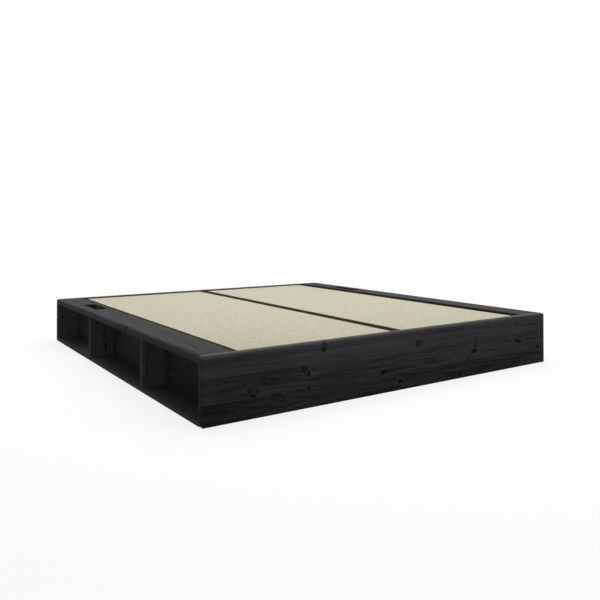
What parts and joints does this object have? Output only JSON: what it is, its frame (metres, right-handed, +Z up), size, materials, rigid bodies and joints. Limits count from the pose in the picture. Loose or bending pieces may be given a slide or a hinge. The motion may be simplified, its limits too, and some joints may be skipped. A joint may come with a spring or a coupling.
{
  "type": "platform bed",
  "caption": "Low black-stained pine platform bed with open storage along both long sides and lift-out tatami mats with dark cloth bindings in a slatted well.",
  "frame": {"origin": "on the floor, under the middle of the bed", "axes": "+X to the right seen from the foot end, +Y from foot to head, +Z up"},
  "size_m": [1.88, 2.06, 0.247],
  "materials": {
    "stained_pine": "black stained and oiled pine, satin",
    "plain_pine": "planed untreated pine",
    "beech": "plain turned dowel",
    "ribbon_tape": "woven cotton tape",
    "bracket_steel": "zinc plated sheet",
    "cast_zinc": "cast",
    "zinc_plated_steel": "zinc plated",
    "glide_plastic": "moulded",
    "mat_board": "pressed fibre board",
    "woven_rush": "woven rush, faint sheen",
    "binding_cloth": "dark brown-black cotton cloth",
    "backing_sheet": "coarse woven sheet"
  },
  "bodies": {
    "frame": {"foot_panel": "stained_pine", "head_panel": "stained_pine", "left_top_board": "stained_pine", "left_back_board": "stained_pine", "left_floor_board": "stained_pine", "left_foot_divider": "stained_pine", "left_head_divider": "stained_pine", "left_ledge": "plain_pine", "right_top_board": "stained_pine", "right_back_board": "stained_pine", "right_floor_board": "stained_pine", "right_foot_divider": "stained_pine", "right_head_divider": "stained_pine", "right_ledge": "plain_pine", "centre_beam": "plain_pine", "foot_leg": "plain_pine", "middle_leg": "plain_pine", "head_leg": "plain_pine", "leg_bolts": "zinc_plated_steel", "leg_glides": "glide_plastic", "foot_beam_bracket": "bracket_steel", "head_beam_bracket": "bracket_steel", "bracket_screws": "zinc_plated_steel", "left_slats": "plain_pine", "right_slats": "plain_pine", "left_ribbons": "ribbon_tape", "right_ribbons": "ribbon_tape", "slat_screws": "zinc_plated_steel", "left_ledge_screws": "zinc_plated_steel", "left_unit_screws": "zinc_plated_steel", "left_cams": "cast_zinc", "left_cam_bolts": "zinc_plated_steel", "left_dowels": "beech", "right_ledge_screws": "zinc_plated_steel", "right_unit_screws": "zinc_plated_steel", "right_cams": "cast_zinc", "right_cam_bolts": "zinc_plated_steel", "right_dowels": "beech"},
    "left_mat": {"left_mat_core": "mat_board", "left_mat_facing": "woven_rush", "left_mat_bindings": "binding_cloth", "left_mat_backing": "backing_sheet"},
    "right_mat": {"right_mat_core": "mat_board", "right_mat_facing": "woven_rush", "right_mat_bindings": "binding_cloth", "right_mat_backing": "backing_sheet"}
  },
  "joints": [
    {"name": "left_mat_lift", "type": "slide", "parent": "frame", "child": "left_mat", "axis": [0, 0, 1], "range_m": [0, 0.35]},
    {"name": "right_mat_lift", "type": "slide", "parent": "frame", "child": "right_mat", "axis": [0, 0, 1], "range_m": [0, 0.35]}
  ]
}
